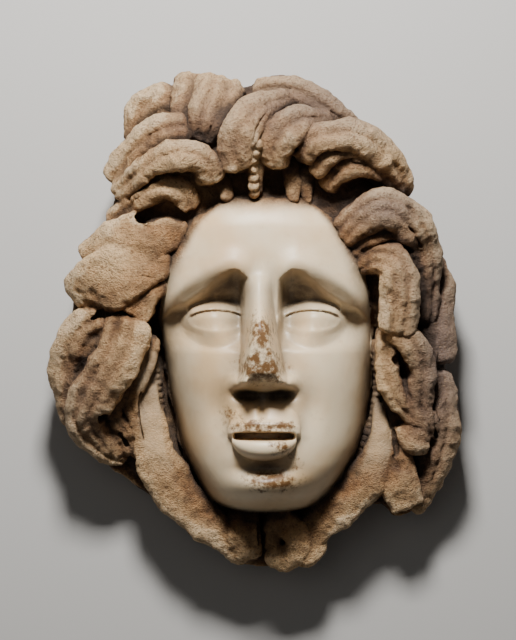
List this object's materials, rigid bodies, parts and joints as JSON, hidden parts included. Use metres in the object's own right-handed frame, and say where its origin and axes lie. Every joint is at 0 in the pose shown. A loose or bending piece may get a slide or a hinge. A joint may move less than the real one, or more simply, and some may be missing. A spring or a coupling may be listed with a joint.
{
  "type": "gorgon mask",
  "caption": "A carved marble gorgon mask in high relief on a flat back: an oval face with parted lips, framed by thick loose hair and by two snakes knotted under the chin.",
  "frame": {"origin": "middle of the outline, on the flat back that the mask lies on", "axes": "+Z out of the face, +Y towards the crown of the head, +X to the right of the face as seen from in front"},
  "size_m": [0.2292, 0.2792, 0.1],
  "materials": {
    "carved_marble": "polished on the face, rough and brown with age on the hair"
  },
  "bodies": {
    "root": {"gorgon_mask": "carved_marble"}
  },
  "joints": []
}
